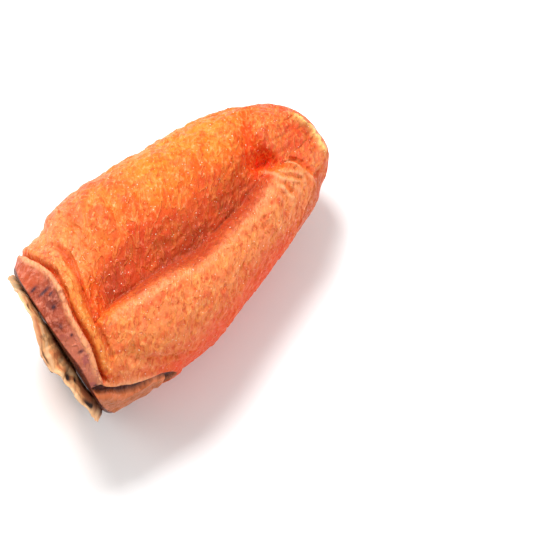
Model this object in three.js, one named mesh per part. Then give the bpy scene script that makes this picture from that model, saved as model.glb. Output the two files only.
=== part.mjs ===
// A whole dried persimmon lying on its side: the flesh shrunk into five lobes between sharp furrows,
// the collar of skin left at the calyx end, the dried four-lobed calyx and its cut stem.
// Millimetres. The calyx end points to -X, the tip to +X and up is +Z. The origin is the middle of
// the fruit's outer box, on the surface that it rests on.
import * as THREE from 'three';

// Driving dimensions of the body. A station is [distance from the calyx end, value].
const BODY_LENGTH = 76;
const HALF_WIDTH = [
  [0, 18.7], [5.7, 19.6], [9.6, 20.4], [15.3, 21.4], [22.5, 22.2], [32.9, 21.5], [43.1, 19.6],
  [53.6, 17.7], [60, 15.9], [64.5, 14.7], [68.5, 12.2], [71.5, 9.4], [74, 6], [75.5, 2.9], [76, 0],
];
const DEPTH_SHARE = 0.94;
// How far the midline bows sideways, and how the body settles onto the surface.
const BOW = [
  [0, -0.6], [5.7, -0.4], [9.6, 0.1], [15.3, 1], [22.5, 1.3], [32.9, 1.6], [43.1, 2], [53.6, 2.6],
  [62.8, 3.2], [67, 3.3], [70.5, 2.6], [74, 0.9], [76, -1.2],
];
const SETTLE_DROP = 2.4;
const SETTLE_FORWARD = 1.2;
const SETTLE_FROM = 12;
const SETTLE_TO = 56;

// The main furrow faces 21 degrees from straight up, and the calyx end's plane leans by two slopes.
const FRONT_TURN = THREE.MathUtils.degToRad(21.25);
const FRONT = new THREE.Vector3(0, -Math.sin(FRONT_TURN), Math.cos(FRONT_TURN));
const SIDE = new THREE.Vector3(0, Math.cos(FRONT_TURN), Math.sin(FRONT_TURN));
const LEAN_Y = 0.198;
const LEAN_Z = -0.174;
const LEAN_FADE = 1.5;

// The section in half-widths, as [side, front] points: five lobes, each from furrow to furrow.
const LOBES = [
  [[-0.035, 0.585], [0.14, 0.65], [0.42, 0.745], [0.7, 0.7], [0.9, 0.5], [1, 0.18], [0.97, 0], [0.86, -0.1]],
  [[0.86, -0.1], [0.965, -0.24], [0.95, -0.46], [0.78, -0.7], [0.5, -0.86], [0.28, -0.88], [0.14, -0.74]],
  [[0.14, -0.74], [0.02, -0.9], [-0.2, -0.975], [-0.44, -0.92], [-0.62, -0.78], [-0.66, -0.58]],
  [[-0.66, -0.58], [-0.79, -0.6], [-0.91, -0.45], [-0.96, -0.27], [-0.88, -0.12]],
  [[-0.88, -0.12], [-0.99, -0.02], [-1.01, 0.22], [-0.9, 0.52], [-0.68, 0.76], [-0.42, 0.88],
    [-0.19, 0.875], [-0.085, 0.82], [-0.05, 0.72], [-0.035, 0.585]],
];
// The furrows turn slowly round the body, by these angles in degrees.
const TWIST = [
  [0, 3.5], [14, 3.5], [21, 2.5], [28, 0.5], [35, -5], [42, -10], [52, -13], [57, -14], [66, -18], [76, -20],
];

// The collar of skin: its rim, its cut edge as [angle, distance from the calyx end], and its radius.
const FACE_AT = 1.2;
const FACE_DISH = 2.2;
const FACE_RADIUS = 0.88;
const RIM_AT = 1.9;
const RIM_RADIUS = 0.94;
const EDGE_RADIUS = 0.985;
const SKIN_EDGE = [
  [-180, 7], [-150, 7], [-122, 9], [-104, 14], [-92, 17.6], [-78, 18.6], [-69, 17.2], [-62, 13.6], [-55, 10.1],
  [-48, 7.2], [-43, 5.1], [-38, 3.9], [-30, 4.2], [-22, 4.9], [-12, 5.5], [0, 5.7], [8, 5.9],
  [16, 6.5], [26, 7.2], [35, 7.3], [46, 6.8], [64, 5.1], [80, 4.2], [110, 4.8], [145, 6.5],
];
// Where the lobes end round the sunken cap at the tip, as [angle, distance from the calyx end].
const CAP_EDGE = [
  [-180, 66], [-120, 66], [-55, 66.5], [-43, 67.3], [-31, 66.6], [-23, 64.6], [-16, 61.6],
  [-9, 59.4], [-2, 58.8], [8, 59.3], [18, 60], [28, 60.9], [40, 63], [68, 68], [110, 67], [150, 66],
];
// The lobes rise out of the round calyx end over this stretch past the skin's edge.
const LOBES_FROM = 1.5;
const LOBES_FULL = 11;

// The calyx: a thin dried disc of four lobes, on a boss that reaches into the fruit's dished end.
const CALYX_RADIUS = 18.2;
const CALYX_NOTCH = 0.3;
const CALYX_TURN = 22;
const CALYX_AT = -0.55;
const CALYX_HALF_THICKNESS = 0.5;
const CALYX_CURL = 1.7;
const BOSS_RADIUS = 3.6;
const BOSS_FOOT = 6.4;
const BOSS_AT = 3;
const STEM_RADIUS = 1.9;
const STEM_OFFSET = -1.3;
const STEM_FROM = -1.4;
const STEM_TO = -3.8;

// The origin, measured from the middle of the calyx end. The fruit is pressed flat at its level.
const ORIGIN = new THREE.Vector3(35.38, 1.6, -20.375);

const COLUMNS = 72;
const EDGE_ROWS = [-3.2, -2.4, -1.6, -0.9, -0.45, -0.1, 0.3, 0.8, 1.4, 2.2, 3.1, 3.8, 4.4, 5, 6, 7.5, 9.5];

function ease(from, to, x) {
  const t = THREE.MathUtils.clamp((x - from) / (to - from), 0, 1);
  return t * t * (3 - 2 * t);
}

function bell(x, width) {
  return Math.exp(-((x / width) ** 2));
}

function wrap(degrees) {
  return THREE.MathUtils.euclideanModulo(degrees + 180, 360) - 180;
}

// A smooth curve through stations that never overshoots them. A period closes it into a loop.
function curveThrough(stations, period = 0) {
  let points = stations;
  if (period) {
    const before = stations.slice(-2).map(([x, y]) => [x - period, y]);
    const after = stations.slice(0, 2).map(([x, y]) => [x + period, y]);
    points = [...before, ...stations, ...after];
  }
  const last = points.length - 1;
  const rise = (i) => (points[i + 1][1] - points[i][1]) / (points[i + 1][0] - points[i][0]);
  const slopes = points.map((point, i) => {
    if (i === 0) return rise(0);
    if (i === last) return rise(last - 1);
    const [a, b] = [rise(i - 1), rise(i)];
    return a * b > 0 ? (2 * a * b) / (a + b) : 0;
  });
  return (value) => {
    const x = THREE.MathUtils.clamp(value, points[0][0], points[last][0]);
    let i = 0;
    while (i < last - 1 && x > points[i + 1][0]) i += 1;
    const h = points[i + 1][0] - points[i][0];
    const t = (x - points[i][0]) / h;
    return (1 + 2 * t) * (1 - t) ** 2 * points[i][1] + t * (1 - t) ** 2 * h * slopes[i]
      + t * t * (3 - 2 * t) * points[i + 1][1] + t * t * (t - 1) * h * slopes[i + 1];
  };
}

const halfWidth = curveThrough(HALF_WIDTH);
const bow = curveThrough(BOW);
const twist = curveThrough(TWIST);
const skinEdge = curveThrough(SKIN_EDGE, 360);
const capEdge = curveThrough(CAP_EDGE, 360);

// The section's points as angle and radius, with the columns shared out by the lobes' lengths.
function sectionPoints() {
  const curves = LOBES.map((lobe) => new THREE.CatmullRomCurve3(
    lobe.map(([side, front]) => new THREE.Vector3(side, front, 0)), false, 'centripetal'));
  const total = curves.reduce((sum, curve) => sum + curve.getLength(), 0);
  return curves.flatMap((curve) => {
    const count = Math.max(5, Math.round((COLUMNS * curve.getLength()) / total));
    return curve.getSpacedPoints(count).slice(0, -1).map((p) => ({
      angle: THREE.MathUtils.radToDeg(Math.atan2(p.x, p.y)),
      radius: Math.hypot(p.x, p.y),
    }));
  });
}

// The height of the folds over the plain form: by the distance past the skin's edge round the
// calyx end, and by the cap's edge at the tip.
function foldHeight(x, past, angle) {
  const step = 1;
  const arc = THREE.MathUtils.degToRad(2 * step) * halfWidth(x);
  const slope = (skinEdge(wrap(angle + step)) - skinEdge(wrap(angle - step))) / arc;
  const away = past / Math.hypot(1, slope);
  // Round the front the skin's edge is a lip with a groove and a fold behind it.
  const round = ease(-41, -36, angle) + 1 - ease(-150, -122, angle);
  const strength = angle < -100 ? 0.4 : 1 - 0.75 * ease(60, 95, angle);
  const lip = 0.45 * bell(away + 0.2, 0.5);
  const groove = -2 * bell(away - 0.85, 0.6);
  const fold = 0.5 * bell(away - 2.2, 1);
  const secondGroove = -1.3 * bell(past - 4.4, 0.65) * ease(-34, -27, angle) * (1 - ease(40, 66, angle));
  // On the lower side the flesh hangs over the skin, with a slit under it and a fold of skin below.
  const lower = ease(-126, -100, angle) * (1 - ease(-42, -37.5, angle));
  const flesh = 0.55 * bell(away - 0.7, 1);
  const under = 1 - ease(-0.45, -0.05, away);
  const slit = -1.5 * ease(-3.4, -2.4, away) * under - 0.5 * under;
  const skinFold = 0.5 * bell(away + 4.4, 1);
  const valley = -bell(past - 8, 1.7) * ease(-64, -54, angle) * (1 - ease(-36, -28, angle));
  // A groove and a dimple part the lobes from the cap.
  const pastCap = x - capEdge(angle);
  const capGroove = -1.8 * bell(pastCap - 0.7, 1.1) * ease(-14, -8, angle) * (1 - ease(36, 50, angle));
  const dimple = -3.6 * bell(x - 60.2, 3) * bell(angle + 4, 9);
  return (lip + groove + fold) * round * strength + secondGroove + (flesh + slit + skinFold) * lower
    + valley - 0.4 * ease(-0.2, 2.2, pastCap) + capGroove + dimple;
}

// The plain radius, in half-widths: a cone at the collar, then lobes, then the cap's shallow dome.
function plainRadius(x, past, angle, lobed) {
  if (past < 0) {
    const share = THREE.MathUtils.clamp((x - RIM_AT) / (x - past - RIM_AT), 0, 1);
    return RIM_RADIUS + (EDGE_RADIUS - RIM_RADIUS) * share;
  }
  const cap = 1 - 0.2 * bell(wrap(angle - 8), 52);
  const full = lobed + (cap - lobed) * ease(-0.5, 2.5, x - capEdge(angle));
  return EDGE_RADIUS + (full - EDGE_RADIUS) * ease(LOBES_FROM, LOBES_FULL, past);
}

// A point at x along the midline, at an angle round it, at a radius in millimetres.
function place(x, angle, radius, depthShare = DEPTH_SHARE) {
  const turn = THREE.MathUtils.degToRad(angle);
  const settle = ease(SETTLE_FROM, SETTLE_TO, x);
  const along = THREE.MathUtils.clamp(x / BODY_LENGTH, 0, 1);
  const point = new THREE.Vector3()
    .addScaledVector(SIDE, bow(x) + radius * Math.sin(turn))
    .addScaledVector(FRONT, depthShare * radius * Math.cos(turn) - SETTLE_DROP * settle);
  const lean = (1 - along) ** LEAN_FADE * (LEAN_Y * point.y + LEAN_Z * point.z);
  point.x = x + SETTLE_FORWARD * settle + lean;
  return point;
}

// A closed solid from a start point, rings of points in the same order, and an end point.
function ringSolid(start, rings, end) {
  const count = rings[0].length;
  const positions = [start, ...rings.flat(), end].flatMap((p) => [p.x, p.y, p.z]);
  const indices = [];
  const at = (ring, column) => 1 + ring * count + (column % count);
  const endIndex = 1 + rings.length * count;
  for (let j = 0; j < count; j += 1) {
    indices.push(0, at(0, j), at(0, j + 1));
    for (let i = 0; i < rings.length - 1; i += 1) {
      indices.push(at(i, j), at(i + 1, j + 1), at(i, j + 1));
      indices.push(at(i, j), at(i + 1, j), at(i + 1, j + 1));
    }
    indices.push(at(rings.length - 1, j), endIndex, at(rings.length - 1, j + 1));
  }
  const geometry = new THREE.BufferGeometry();
  geometry.setAttribute('position', new THREE.Float32BufferAttribute(positions, 3));
  geometry.setIndex(indices);
  geometry.computeVertexNormals();
  return geometry;
}

function fruitSolid() {
  const section = sectionPoints();
  const endTwist = twist(0);
  const rings = [];
  // The dished end face and the rounded rim of the collar.
  for (const share of [0.3, 0.6, 0.85]) {
    const x = FACE_AT + FACE_DISH * (1 - share ** 2);
    rings.push(section.map((p) => place(x, p.angle + endTwist, share * FACE_RADIUS * halfWidth(x))));
  }
  for (const share of [0, 0.5]) {
    const turn = (share * Math.PI) / 2;
    const x = FACE_AT + (RIM_AT - FACE_AT) * (1 - Math.cos(turn));
    const radius = FACE_RADIUS + (RIM_RADIUS - FACE_RADIUS) * Math.sin(turn);
    rings.push(section.map((p) => place(x, p.angle + endTwist, radius * halfWidth(x))));
  }
  const bodyPoint = (p, x, edge) => {
    const angle = wrap(p.angle + twist(x));
    const past = x - edge;
    const width = halfWidth(x);
    const folds = foldHeight(x, past, angle) * Math.min(1, width / 8);
    return place(x, angle, width * plainRadius(x, past, angle, p.radius) + folds);
  };
  const edges = section.map((p) => skinEdge(wrap(p.angle + endTwist)));
  for (const share of [0, 0.35, 0.7]) {
    rings.push(section.map((p, j) => {
      const reach = Math.max(0.3, edges[j] + EDGE_ROWS[0] - RIM_AT);
      return bodyPoint(p, RIM_AT + reach * share, edges[j]);
    }));
  }
  // Where the collar is narrow, the rows before its edge close up.
  for (const row of EDGE_ROWS) {
    rings.push(section.map((p, j) => {
      const room = (edges[j] - RIM_AT - 0.4) / -EDGE_ROWS[0];
      const past = row < 0 ? row * Math.min(1, room) : row;
      return bodyPoint(p, edges[j] + past, edges[j]);
    }));
  }
  // Past the folds, rows 2.4 mm apart run to the cap, and then closer ones to the tip.
  const lastEdgeRow = EDGE_ROWS.at(-1);
  const nominalStart = 16;
  const capFrom = 56;
  const stations = [];
  for (let x = nominalStart + 2.4; x < BODY_LENGTH - 1; x += x < capFrom ? 2.4 : 1.35) {
    stations.push((x - nominalStart) / (BODY_LENGTH - nominalStart));
  }
  stations.push(1 - 0.35 / (BODY_LENGTH - nominalStart));
  for (const share of stations) {
    rings.push(section.map((p, j) => {
      const from = edges[j] + lastEdgeRow;
      return bodyPoint(p, from + (BODY_LENGTH - from) * share, edges[j]);
    }));
  }
  const start = place(FACE_AT + FACE_DISH, 0, 0);
  const end = place(BODY_LENGTH, 0, 0);
  for (const p of rings.flat()) p.z = Math.max(p.z, ORIGIN.z);
  return ringSolid(start, rings, end);
}

// The calyx's outline and the curl of its lobes' sides, which bend away from the fruit.
function sepal(angle) {
  const fromMiddle = Math.abs(Math.cos(THREE.MathUtils.degToRad(2 * (angle - CALYX_TURN))));
  return {
    reach: CALYX_RADIUS * (1 - CALYX_NOTCH + CALYX_NOTCH * fromMiddle ** 0.5),
    curl: CALYX_CURL * (1 - fromMiddle) + 0.5 * (1 + Math.sin(THREE.MathUtils.degToRad(3 * angle + 40))),
  };
}

function calyxSolid() {
  const columns = 64;
  const angles = Array.from({ length: columns }, (_, j) => (j * 360) / columns);
  const shares = [0.2, 0.36, 0.55, 0.72, 0.87, 0.96, 1];
  const surface = (share, facing) => angles.map((angle) => {
    const { reach, curl } = sepal(angle);
    const radius = share * reach;
    const thinning = 1 - 0.35 * share ** 2;
    const boss = facing > 0 ? 1 - ease(BOSS_RADIUS, BOSS_FOOT, radius) : 0;
    const blade = CALYX_AT - curl * share ** 3 + facing * CALYX_HALF_THICKNESS * thinning;
    return place(THREE.MathUtils.lerp(blade, BOSS_AT, boss), angle, radius);
  });
  const outer = shares.map((share) => surface(share, -1));
  const inner = shares.map((share) => surface(share, 1)).reverse();
  const start = place(CALYX_AT - CALYX_HALF_THICKNESS, 0, 0);
  const end = place(BOSS_AT, 0, 0);
  return ringSolid(start, [...outer, ...inner], end);
}

// The cut stem: a short stub that flares where it grew from the calyx.
function stemSolid() {
  const columns = 14;
  const profile = [[0, 1.25], [0.15, 1.2], [0.45, 1], [0.8, 0.95], [0.95, 0.88], [1, 0.7]];
  const rings = profile.map(([share, radius]) => Array.from({ length: columns }, (_, j) => {
    const angle = (-j * 360) / columns;
    const wobble = 1 + 0.06 * Math.sin(THREE.MathUtils.degToRad(3 * angle));
    const point = place(STEM_FROM + (STEM_TO - STEM_FROM) * share, angle, STEM_RADIUS * radius * wobble);
    return point.addScaledVector(SIDE, STEM_OFFSET);
  }));
  const start = place(STEM_FROM, 0, 0).addScaledVector(SIDE, STEM_OFFSET);
  const end = place(STEM_TO, 0, 0).addScaledVector(SIDE, STEM_OFFSET);
  return ringSolid(start, rings, end);
}

function piece(name, geometry, color, roughness) {
  const material = new THREE.MeshStandardMaterial({ color, roughness, metalness: 0 });
  const mesh = new THREE.Mesh(geometry, material);
  mesh.name = name;
  mesh.position.copy(ORIGIN).negate();
  return mesh;
}

const persimmon = new THREE.Group();
persimmon.add(piece('fruit', fruitSolid(), 0xe8752f, 0.5));
persimmon.add(piece('calyx', calyxSolid(), 0xb98a62, 0.85));
persimmon.add(piece('stem_stub', stemSolid(), 0x6b4a33, 0.9));

export default persimmon;
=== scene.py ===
"""A whole dried persimmon lying on its side: fine surfaces, materials, floor, light and camera.

Shapes are worked out in millimetres from the middle of the calyx end, and moved into the frame last.
"""
import math

import bpy
import numpy as np
from mathutils import Matrix, Vector


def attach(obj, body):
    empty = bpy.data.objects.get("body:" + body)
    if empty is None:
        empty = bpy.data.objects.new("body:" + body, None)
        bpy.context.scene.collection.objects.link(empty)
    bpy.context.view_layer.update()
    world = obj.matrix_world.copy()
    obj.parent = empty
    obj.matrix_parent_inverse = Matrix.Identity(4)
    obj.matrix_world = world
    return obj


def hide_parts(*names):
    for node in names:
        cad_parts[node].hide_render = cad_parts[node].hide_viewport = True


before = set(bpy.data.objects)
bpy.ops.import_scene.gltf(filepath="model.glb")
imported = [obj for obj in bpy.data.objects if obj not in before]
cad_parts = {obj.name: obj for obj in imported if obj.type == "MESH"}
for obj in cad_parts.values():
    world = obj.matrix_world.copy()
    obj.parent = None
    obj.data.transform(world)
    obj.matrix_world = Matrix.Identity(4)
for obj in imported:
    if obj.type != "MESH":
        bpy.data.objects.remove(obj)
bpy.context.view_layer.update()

MM = 0.001

# The body's driving dimensions. A station is (distance from the calyx end, value).
BODY_LENGTH = 77.0
HALF_WIDTH = [
    (0, 18.7), (5.7, 19.6), (9.6, 20.4), (15.3, 21.4), (22.5, 22.2), (32.9, 21.3), (43.1, 19.2),
    (53.6, 17.2), (60, 15.3), (64.5, 14), (68.5, 12.2), (72, 10.2), (74.8, 7.6), (76.4, 4.3), (77, 0)]
FLARE = 0.085
FLARE_ANGLE, FLARE_SPREAD, FLARE_TO = 80, 30, 12
DEPTH_SHARE = 0.94
BOW = [
    (0, -0.6), (5.7, -0.4), (9.6, 0.1), (15.3, 1), (22.5, 1.3), (32.9, 1.8), (43.1, 2.4), (53.6, 2.9),
    (62.8, 2.9), (67, 2.7), (70.5, 2.4), (74, 2.3), (77, 1.2)]
SETTLE_DROP = 2.4
SETTLE_FORWARD = 1.2
SETTLE = (12, 56)

# The main furrow faces 21 degrees from straight up, and the calyx end's plane leans by two slopes.
FRONT_TURN = math.radians(21.25)
FRONT = np.array([0, -math.sin(FRONT_TURN), math.cos(FRONT_TURN)])
SIDE = np.array([0, math.cos(FRONT_TURN), math.sin(FRONT_TURN)])
LEAN = np.array([0, 0.198, -0.174])
LEAN_FADE = 1.5

# The section in half-widths, as (side, front) points: five lobes, each from furrow to furrow.
LOBES = [
    [(-0.095, 0.585), (0.1, 0.65), (0.42, 0.745), (0.7, 0.7), (0.9, 0.5), (1, 0.18), (0.97, 0),
     (0.86, -0.1)],
    [(0.86, -0.1), (0.965, -0.24), (0.95, -0.46), (0.78, -0.7), (0.5, -0.86), (0.28, -0.88),
     (0.14, -0.74)],
    [(0.14, -0.74), (0.02, -0.9), (-0.2, -0.975), (-0.44, -0.92), (-0.62, -0.78), (-0.66, -0.58)],
    [(-0.66, -0.58), (-0.79, -0.6), (-0.91, -0.45), (-0.96, -0.27), (-0.88, -0.12)],
    [(-0.88, -0.12), (-0.99, -0.02), (-1.01, 0.22), (-0.9, 0.52), (-0.68, 0.76), (-0.42, 0.88),
     (-0.21, 0.875), (-0.16, 0.82), (-0.125, 0.72), (-0.095, 0.585)]]
TWIST = [
    (0, 3.5), (14, 3.5), (21, 2.5), (28, 0.5), (35, -5), (42, -10), (52, -13), (57, -14), (66, -18),
    (77, -20)]
# The main furrow wanders more than the whole section twists.
FURROW_SHIFT = [
    (0, 0), (12, -0.3), (17, -1.8), (21.6, -3.7), (26.3, -4.5), (30.5, -6.7), (33.3, -8.2), (38, -6),
    (43, -3.7), (47, -2), (50.5, 0), (55, 6.5), (58.5, 11), (62, 15), (66, 17), (77, 19)]
FURROW_SPREAD = 40

# The collar of skin and the sunken cap at the tip, as (angle, distance from the calyx end). The cap's
# angles are the section's own, before the twist.
FACE_AT, FACE_DISH = 1.2, 2.2
FACE_EDGE = [(-180, 0.88), (-95, 0.8), (-30, 0.8), (20, 0.8), (55, 0.84), (90, 0.88), (150, 0.88)]
RIM_RADIUS, EDGE_RADIUS = 0.94, 0.985
RIM_AT = [
    (-180, 2.8), (-140, 3), (-110, 3.6), (-90, 3.3), (-80, 2.9), (-70, 2.3), (-60, 1.85), (-50, 1.7),
    (-40, 1.8), (-30, 2.1), (-20, 2.25), (-10, 1.9), (0, 1.7), (20, 1.5), (50, 1.5), (60, 1.6), (70, 2.1),
    (80, 2.4), (95, 2.6), (130, 2.7)]
SKIN_EDGE = [
    (-180, 7), (-150, 7), (-122, 9), (-104, 14), (-92, 17.6), (-78, 18.6), (-69, 17.2), (-62, 13.6),
    (-55, 10.1), (-48, 7.2), (-43, 5.1), (-38, 3.9), (-30, 4.2), (-22, 4.9), (-12, 5.5), (0, 5.7),
    (8, 5.9), (16, 6.5), (26, 7.2), (35, 7.3), (46, 6.8), (64, 5.1), (80, 4.2), (110, 4.8), (145, 6.5)]
CAP_EDGE = [
    (-180, 67), (-100, 67), (-55, 67), (-46, 66.8), (-36, 66.5), (-27, 66), (-21, 65.5), (-16, 64.5),
    (-13, 62.4), (-11, 61.4), (-4, 60.9), (5, 60.3), (16, 59.8), (23, 60), (33, 60.8), (44, 62), (57, 64),
    (70, 66), (90, 67.5)]
LOBES_FROM, LOBES_FULL = 1.5, 11
CAP_SINK, CAP_ANGLE, CAP_SPREAD = 0.27, -12, 30
GROOVE_LINE = [(-8, 60), (0, 58.7), (8, 57.9), (16, 58.2), (24, 59), (32, 60.6), (43, 62.7), (60, 66)]
GROOVE_WIDTH, GROOVE_DEPTH = 1.8, 1.7
DIMPLE_AT, DIMPLE_ANGLE = 59.3, 0
# Dents and lumps, as (height, distance from the calyx end, half-length, angle, half-spread in degrees).
# The first two are the dimple and a hollow at the tip, and the others shape the outline.
LUMPS = [
    (-1.7, DIMPLE_AT, 2.4, DIMPLE_ANGLE, 9), (-1.3, 68.6, 2.6, 16, 16), (0.5, 71.8, 1.2, 36, 5),
    (-0.8, 70.8, 3, 40, 16), (0.5, 10.5, 3.6, 86, 20), (0.6, 54, 10, 88, 25)]
TIP_RIM = [(-70, 73), (-45, 74), (-26, 74.6), (-4, 74.7), (18, 74), (35, 72.6), (55, 70.5)]
# Wrinkles across the ridge's end: a strength, then (angle, distance from the calyx end) stations.
NOSE_WRINKLES = [
    (1.0, [(-37, 64), (-35, 63.5), (-29, 62.2), (-25, 61.3), (-21, 60.4), (-17, 60), (-10, 59.9)]),
    (1.0, [(-43, 60.4), (-41, 60.2), (-35, 59.7), (-29, 59.4), (-23, 58.5)]),
    (0.9, [(-50, 67.7), (-38, 66.4), (-28, 65.6), (-22, 65.6), (-14, 64.7)]),
    (0.8, [(-43, 64.4), (-37, 65), (-29, 64.6), (-23, 63.4), (-20, 61.9)]),
    (0.4, [(-46, 62.6), (-38, 62.4), (-32, 61.2)]),
    (0.35, [(-40, 57.6), (-32, 57.4), (-24, 56.2)])]
WRINKLE_RISE, WRINKLE_DEPTH = 0.3, 0.5
# The ridge's outer side ends in a thin groove, as (distance from the calyx end, angle).
SIDE_GROOVE = [
    (57, -74), (58, -70.7), (59.8, -66.4), (61.6, -60), (63.9, -56.5), (65.3, -52.5), (68.7, -50.7),
    (71, -50)]
SIDE_GROOVE_DEPTH = 0.6
MEAN_RADIUS = 18
# Each stain's angle, distance, half-length along the fruit and half-width across in millimetres.
STAINS = [
    (33.8, 4.3, 1.5, 0.36), (41.5, 2.8, 0.9, 0.34), (20.8, 4.2, 0.55, 0.45), (-12.6, 3.9, 0.6, 0.26),
    (-0.5, 4.1, 0.3, 0.35), (29, 5.2, 0.6, 0.26), (8, 3.2, 0.4, 0.3), (-38, 2.8, 0.5, 0.3)]
STAIN_LEAN = 0.15
# Fine wrinkles run round the fruit and lean towards the tip as they climb.
WRINKLE_LEAN = 0.45
WRINKLE_HEIGHT, BROAD_HEIGHT, GRAIN_HEIGHT, LUMP_HEIGHT = 0.45, 0.7, 0.13, 0.3
# Folds beside the skin's edge, as (distance past the edge, half-width, height).
LIP, FOLD, SWELL = (-0.2, 0.5, 0.45), (0.75, 0.5, -1.7), (2.1, 1, 0.75)
SECOND_GROOVE = [(-34, 4.2), (-21, 3.7), (-10, 3.6), (2, 4.3), (15, 4.4), (35, 5), (52, 5.4), (66, 5.4)]
SECOND_GROOVE_WIDTH, SECOND_GROOVE_DEPTH = 0.6, 1.0
# Under the lower edge the flesh overhangs a slit, and the skin's flap stands out beyond it. The slit is
# widest at one angle and narrow where it ends under the fruit.
SLIT_DEPTH, SLIT_EDGE = 1.0, (-2.4, -2.1)
SLIT_WIDEST_ANGLE, SLIT_SPREAD, SLIT_WIDER = -68, 13, 1.1
SLIT_NARROWER = 1.1
# Finer pleats beside the collar, as (distance past the skin's edge, strength).
PLEATS = [(8.6, 0.6), (10.6, 1), (13.4, 0.8), (16.4, 0.5)]
PLEAT_DEPTH = 0.45

# How the fruit's surface is divided. Rows lie close together from before the skin's edge until after it.
FRUIT_COLUMNS = 384
FACE_RINGS, RIM_RINGS, COLLAR_ROWS = 14, 8, 14
EDGE_ROWS_BEFORE, EDGE_ROWS_AFTER, EDGE_ROW_STEP = 3.4, 8.0, 0.2
BODY_ROWS, ROWS_CROWD, LAST_ROW_SHORT = 165, 0.25, 0.15

# The calyx, whose leaf lies along one line of stations and whose rim curls away along another.
CALYX_RADIUS = 18.2
CALYX_NOTCH = 0.2
CALYX_TURN = 22
CALYX_HALF_THICKNESS = 0.42
CALYX_LEAF = [
    (-180, 0.6), (-120, 0.6), (-60, 0.55), (-40, 0.3), (-15, 0.3), (0, 0.5), (25, 0.6), (60, 0.7),
    (120, 0.7)]
CALYX_RIM = [
    (-180, -1.4), (-130, -1.2), (-85, -1), (-70, -1.05), (-60, -1.3), (-50, -1.6), (-40, -1.55),
    (-30, -1.75), (-20, -1.95), (-10, -3.2), (0, -3.15), (10, -2.35), (20, -1.5), (30, -0.8), (40, -0.5),
    (50, -0.45), (60, -0.7), (70, -0.85), (80, -0.5), (92, 0.1), (110, 1.2), (130, 1), (155, -0.4)]
# Each hole's angle, share of the radius, and half-lengths in degrees and in shares.
CALYX_HOLES = [
    (-1, 0.95, 5, 0.025), (-26, 0.89, 3.2, 0.05), (-54, 0.95, 5, 0.03), (-33, 0.82, 1.6, 0.03),
    (36, 0.93, 3, 0.02), (68, 0.9, 2, 0.03)]
CALYX_CURL_FROM = [
    (-180, 0.75), (-110, 0.85), (-80, 0.88), (-50, 0.8), (-20, 0.66), (20, 0.66), (50, 0.8), (80, 0.88),
    (120, 0.85)]
CALYX_SKEW = 0.05
CALYX_COLUMNS = 420
# Shares of the radius at which the leaf has rows, as (from, to, how many): closest at the rim.
CALYX_SHARES = [(0.03, 0.6, 16), (0.62, 0.96, 26), (0.97, 1, 5)]
# The radius at which the rim's raggedness is taken from the noise.
CALYX_NOISE_RADIUS = 18
# Outside this radius the leaf lies over the fruit's rim, and inside it over the dished end face.
FACE_FLAT_FROM = 7
HOLE_DEPTH = 0.3
VEIN_COUNT, VEIN_HEIGHT = 18, 0.14
# The calyx thickens to fill the gap under it round this angle, and the filling is painted dark as shade.
FILL_ANGLE, FILL_SPREAD, FILL_HEIGHT = -85, 28, 0.9
BOSS_RADIUS, BOSS_FOOT, BOSS_AT = 3.6, 6.4, 3.0
STEM_RADIUS, STEM_OFFSET, STEM_FROM, STEM_TO = 1.9, -1.3, -1.4, -3.8
STEM_COLUMNS = 72
# The stem's radius along its length, as (share of the length, share of the radius), and its hollowed cut.
STEM_PROFILE = [(0, 1.25), (0.15, 1.2), (0.45, 1.0), (0.8, 0.95), (0.95, 0.88), (1.0, 0.7)]
STEM_HOLLOW = 0.18

# The frame's origin, measured from the middle of the calyx end.
ORIGIN = np.array([35.38, 1.6, -20.375])

# The photograph's view: 550 by 550 pixels, with the middle of the calyx end at CALYX_PIXEL.
VIEW_AZIMUTH, VIEW_ELEVATION, VIEW_DISTANCE = math.radians(-43), math.radians(62), 500.0
MM_PER_PIXEL = 0.2125
PICTURE = 550
CALYX_PIXEL = (55, 348)
SENSOR = 36.0
# Each light's name, direction in the picture's axes, distance and size in metres, and power in watts.
LIGHTS = [
    ("key_light", (-0.2, 0.75, 0.6), 0.5, 0.2, 2.85),
    ("side_light", (0.8, 0.1, 0.6), 0.5, 0.25, 0.8),
    ("fill_light", (-0.8, 0.3, 0.6), 0.5, 0.25, 0.5)]
SKY_STRENGTH = 0.52
FRUIT_MIDDLE_HEIGHT = 0.02
FLOOR_HALF_SIZE = 3.0


def ease(start, end, x):
    """From 0 at start to 1 at end, level at both."""
    t = np.clip((np.asarray(x, float) - start) / (end - start), 0, 1)
    return t * t * (3 - 2 * t)


def bell(x, width):
    """A smooth hump of height 1 at 0."""
    return np.exp(-(x / width) ** 2)


def wrap(degrees):
    """The same angle from -180 up to 180."""
    return (degrees + 180) % 360 - 180


def curve_through(stations, x, period=0):
    """A smooth curve through stations that never overshoots them. A period closes it into a loop."""
    points = list(stations)
    if period:
        points = ([(a - period, v) for a, v in stations[-2:]] + points
                  + [(a + period, v) for a, v in stations[:2]])
    at, value = np.array(points, float).T
    rise = np.diff(value) / np.diff(at)
    product = rise[1:] * rise[:-1]
    total = rise[1:] + rise[:-1]
    inner = np.where(product > 0, 2 * product / np.where(product > 0, total, 1), 0)
    slopes = np.concatenate([rise[:1], inner, rise[-1:]])
    x = np.clip(x, at[0], at[-1])
    i = np.clip(np.searchsorted(at, x) - 1, 0, len(at) - 2)
    h = at[i + 1] - at[i]
    t = (x - at[i]) / h
    return ((1 + 2 * t) * (1 - t) ** 2 * value[i] + t * (1 - t) ** 2 * h * slopes[i]
            + t * t * (3 - 2 * t) * value[i + 1] + t * t * (t - 1) * h * slopes[i + 1])


def half_width(x):
    return curve_through(HALF_WIDTH, x)


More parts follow.
